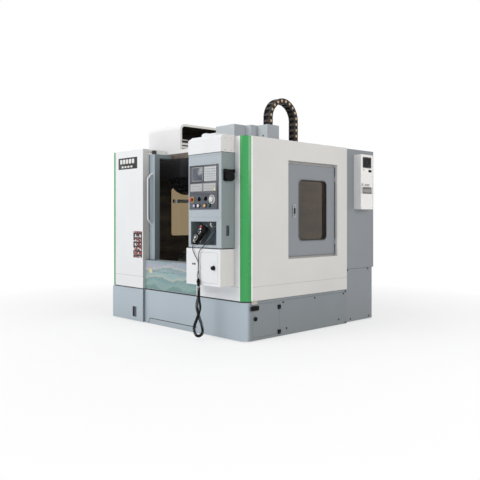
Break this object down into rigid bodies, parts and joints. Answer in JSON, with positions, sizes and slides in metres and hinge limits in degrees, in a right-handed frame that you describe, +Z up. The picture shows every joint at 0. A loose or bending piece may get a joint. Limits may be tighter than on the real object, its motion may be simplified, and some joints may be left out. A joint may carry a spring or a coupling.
{
  "type": "vertical machining center",
  "caption": "Vertical CNC machining center: enclosed cross table and travelling spindle head, sliding front doors, side doors, hanging control box, tool magazine, cable chain and rear cabinet.",
  "frame": {"origin": "on the floor, at the centre of the rectangle of four foundation bolt holes", "axes": "+X to the operator's right, +Y from the front doors to the back, +Z up along the spindle axis"},
  "size_m": [2.355, 2.4137, 2.628],
  "materials": {
    "white_paint": "satin",
    "warm_white_paint": "satin",
    "blue_grey_paint": "satin",
    "grey_paint": "satin",
    "box_paint": "satin",
    "green_paint": "gloss",
    "dark_paint": "matte",
    "sill_film": "gloss",
    "casting_paint": "satin",
    "ground_steel": "ground",
    "black_steel": "matte",
    "window_glass": "clear",
    "black_plastic": "matte",
    "panel_plastic": "satin",
    "red_plastic": "gloss",
    "white_plastic": "gloss",
    "lilac_plastic": "gloss",
    "amber_plastic": "gloss",
    "green_plastic": "gloss",
    "black_rubber": "matte"
  },
  "bodies": {
    "machine": {"bed": "casting_paint", "column": "casting_paint", "levelling_feet": "black_steel", "base_skirt": "blue_grey_paint", "coolant_tank": "grey_paint", "left_front_panel": "white_paint", "right_front_panel": "white_paint", "front_sill_panel": "sill_film", "door_lintel": "white_paint", "left_side_panel": "warm_white_paint", "right_side_panel": "warm_white_paint", "rear_wall": "warm_white_paint", "corner_strips": "green_paint", "magazine_hood": "white_paint", "magazine_frame": "casting_paint", "drag_chain": "black_plastic", "electrical_cabinet": "grey_paint", "cooling_unit": "white_paint", "control_cowl": "white_paint", "control_box": "box_paint", "control_panel": "panel_plastic", "storage_cabinet": "white_paint", "hand_unit": "black_plastic", "hand_unit_lead": "black_rubber", "hand_unit_coil": "black_rubber", "cord_hook": "black_plastic", "magazine_guard": "dark_paint"},
    "saddle": {"saddle": "casting_paint"},
    "table": {"table": "ground_steel"},
    "head": {"spindle_head": "casting_paint", "head_cover": "grey_paint"},
    "spindle": {"spindle": "ground_steel"},
    "left_front_door": {"left_front_door": "blue_grey_paint", "left_front_window": "window_glass", "left_front_handle": "white_paint"},
    "right_front_door": {"right_front_door": "blue_grey_paint", "right_front_window": "window_glass", "right_front_handle": "white_paint"},
    "right_side_door": {"right_side_door": "grey_paint", "right_side_window": "window_glass"},
    "left_side_door": {"left_side_door": "grey_paint", "left_side_window": "window_glass"},
    "carousel": {"tool_carousel": "dark_paint"},
    "change_arm": {"change_arm": "ground_steel"},
    "storage_door": {"storage_door": "white_paint"},
    "skirt_hatch": {"skirt_hatch": "blue_grey_paint"},
    "cabinet_door": {"cabinet_door": "grey_paint"},
    "e_stop": {"e_stop_button": "red_plastic"},
    "mode_knob": {"mode_knob": "black_plastic"},
    "rapid_knob": {"rapid_knob": "black_plastic"},
    "feed_dial": {"feed_dial": "white_plastic"},
    "lilac_button": {"lilac_button": "lilac_plastic"},
    "white_button": {"white_button": "white_plastic"},
    "amber_button": {"amber_button": "amber_plastic"},
    "green_button": {"green_button": "green_plastic"},
    "x_screw": {"x_screw": "ground_steel"},
    "y_screw": {"y_screw": "ground_steel"},
    "z_screw": {"z_screw": "ground_steel"},
    "hand_wheel": {"hand_wheel": "white_plastic"}
  },
  "joints": [
    {"name": "saddle_slide", "type": "slide", "parent": "machine", "child": "saddle", "axis": [0, 1, 0], "range_m": [-0.2, 0.2]},
    {"name": "table_slide", "type": "slide", "parent": "saddle", "child": "table", "axis": [1, 0, 0], "range_m": [-0.325, 0.325]},
    {"name": "head_slide", "type": "slide", "parent": "machine", "child": "head", "axis": [0, 0, 1], "range_m": [-0.5, 0], "deforming": ["drag_chain"]},
    {"name": "spindle_turn", "type": "hinge", "parent": "head", "child": "spindle", "pos_m": [0, -0.33, 1.5], "axis": [0, 0, 1], "continuous": true},
    {"name": "left_front_door_slide", "type": "slide", "parent": "machine", "child": "left_front_door", "axis": [1, 0, 0], "range_m": [0, 0.358]},
    {"name": "right_front_door_slide", "type": "slide", "parent": "machine", "child": "right_front_door", "axis": [-1, 0, 0], "range_m": [0, 0.357]},
    {"name": "right_side_door_hinge", "type": "hinge", "parent": "machine", "child": "right_side_door", "pos_m": [1.133, 0.462, 1.28], "axis": [0, 0, 1], "range_deg": [0, 95]},
    {"name": "left_side_door_hinge", "type": "hinge", "parent": "machine", "child": "left_side_door", "pos_m": [-1.093, 0.462, 1.28], "axis": [0, 0, -1], "range_deg": [0, 95]},
    {"name": "carousel_turn", "type": "hinge", "parent": "machine", "child": "carousel", "pos_m": [-0.76, -0.15, 1.77], "axis": [1, 0, 0], "continuous": true},
    {"name": "change_arm_turn", "type": "hinge", "parent": "machine", "child": "change_arm", "pos_m": [-0.32, -0.24, 1.4], "axis": [0, 0, 1], "range_deg": [0, 90]},
    {"name": "storage_door_hinge", "type": "hinge", "parent": "machine", "child": "storage_door", "pos_m": [0.721, -1.136, 0.71], "axis": [0, 0, -1], "range_deg": [0, 90]},
    {"name": "skirt_hatch_hinge", "type": "hinge", "parent": "machine", "child": "skirt_hatch", "pos_m": [1.171, -0.485, 0.2], "axis": [0, 0, 1], "range_deg": [0, 110]},
    {"name": "cabinet_door_hinge", "type": "hinge", "parent": "machine", "child": "cabinet_door", "pos_m": [0.335, 1.2093, 1.3], "axis": [0, 0, 1], "range_deg": [0, 110]},
    {"name": "e_stop_press", "type": "slide", "parent": "machine", "child": "e_stop", "axis": [0, 1, 0], "range_m": [0, 0.004]},
    {"name": "mode_knob_turn", "type": "hinge", "parent": "machine", "child": "mode_knob", "pos_m": [0.696, -1.133, 1.384], "axis": [0, -1, 0], "range_deg": [-135, 135]},
    {"name": "rapid_knob_turn", "type": "hinge", "parent": "machine", "child": "rapid_knob", "pos_m": [0.792, -1.133, 1.387], "axis": [0, -1, 0], "range_deg": [-135, 135]},
    {"name": "feed_dial_turn", "type": "hinge", "parent": "machine", "child": "feed_dial", "pos_m": [0.884, -1.133, 1.378], "axis": [0, -1, 0], "continuous": true},
    {"name": "lilac_button_press", "type": "slide", "parent": "machine", "child": "lilac_button", "axis": [0, 1, 0], "range_m": [0, 0.004], "stiffness_N_per_m": 400},
    {"name": "white_button_press", "type": "slide", "parent": "machine", "child": "white_button", "axis": [0, 1, 0], "range_m": [0, 0.004], "stiffness_N_per_m": 400},
    {"name": "amber_button_press", "type": "slide", "parent": "machine", "child": "amber_button", "axis": [0, 1, 0], "range_m": [0, 0.004], "stiffness_N_per_m": 400},
    {"name": "green_button_press", "type": "slide", "parent": "machine", "child": "green_button", "axis": [0, 1, 0], "range_m": [0, 0.004], "stiffness_N_per_m": 400},
    {"name": "x_screw_turn", "type": "hinge", "parent": "saddle", "child": "x_screw", "pos_m": [0, -0.33, 0.698], "axis": [1, 0, 0], "range_deg": [-11710, 11710]},
    {"name": "y_screw_turn", "type": "hinge", "parent": "machine", "child": "y_screw", "pos_m": [0, 0, 0.539], "axis": [0, 1, 0], "range_deg": [-7210, 7210]},
    {"name": "z_screw_turn", "type": "hinge", "parent": "machine", "child": "z_screw", "pos_m": [0, 0.162, 1.5], "axis": [0, 0, 1], "range_deg": [-18010, 10]},
    {"name": "hand_wheel_turn", "type": "hinge", "parent": "machine", "child": "hand_wheel", "pos_m": [0.65696, -1.14202, 1.00001], "axis": [0, -0.9659, 0.2588], "continuous": true}
  ],
  "couplings": [
    {"joint": "x_screw_turn", "follows": "table_slide", "rad_per_m": 628.32},
    {"joint": "y_screw_turn", "follows": "saddle_slide", "rad_per_m": 628.32},
    {"joint": "z_screw_turn", "follows": "head_slide", "rad_per_m": 628.32}
  ]
}
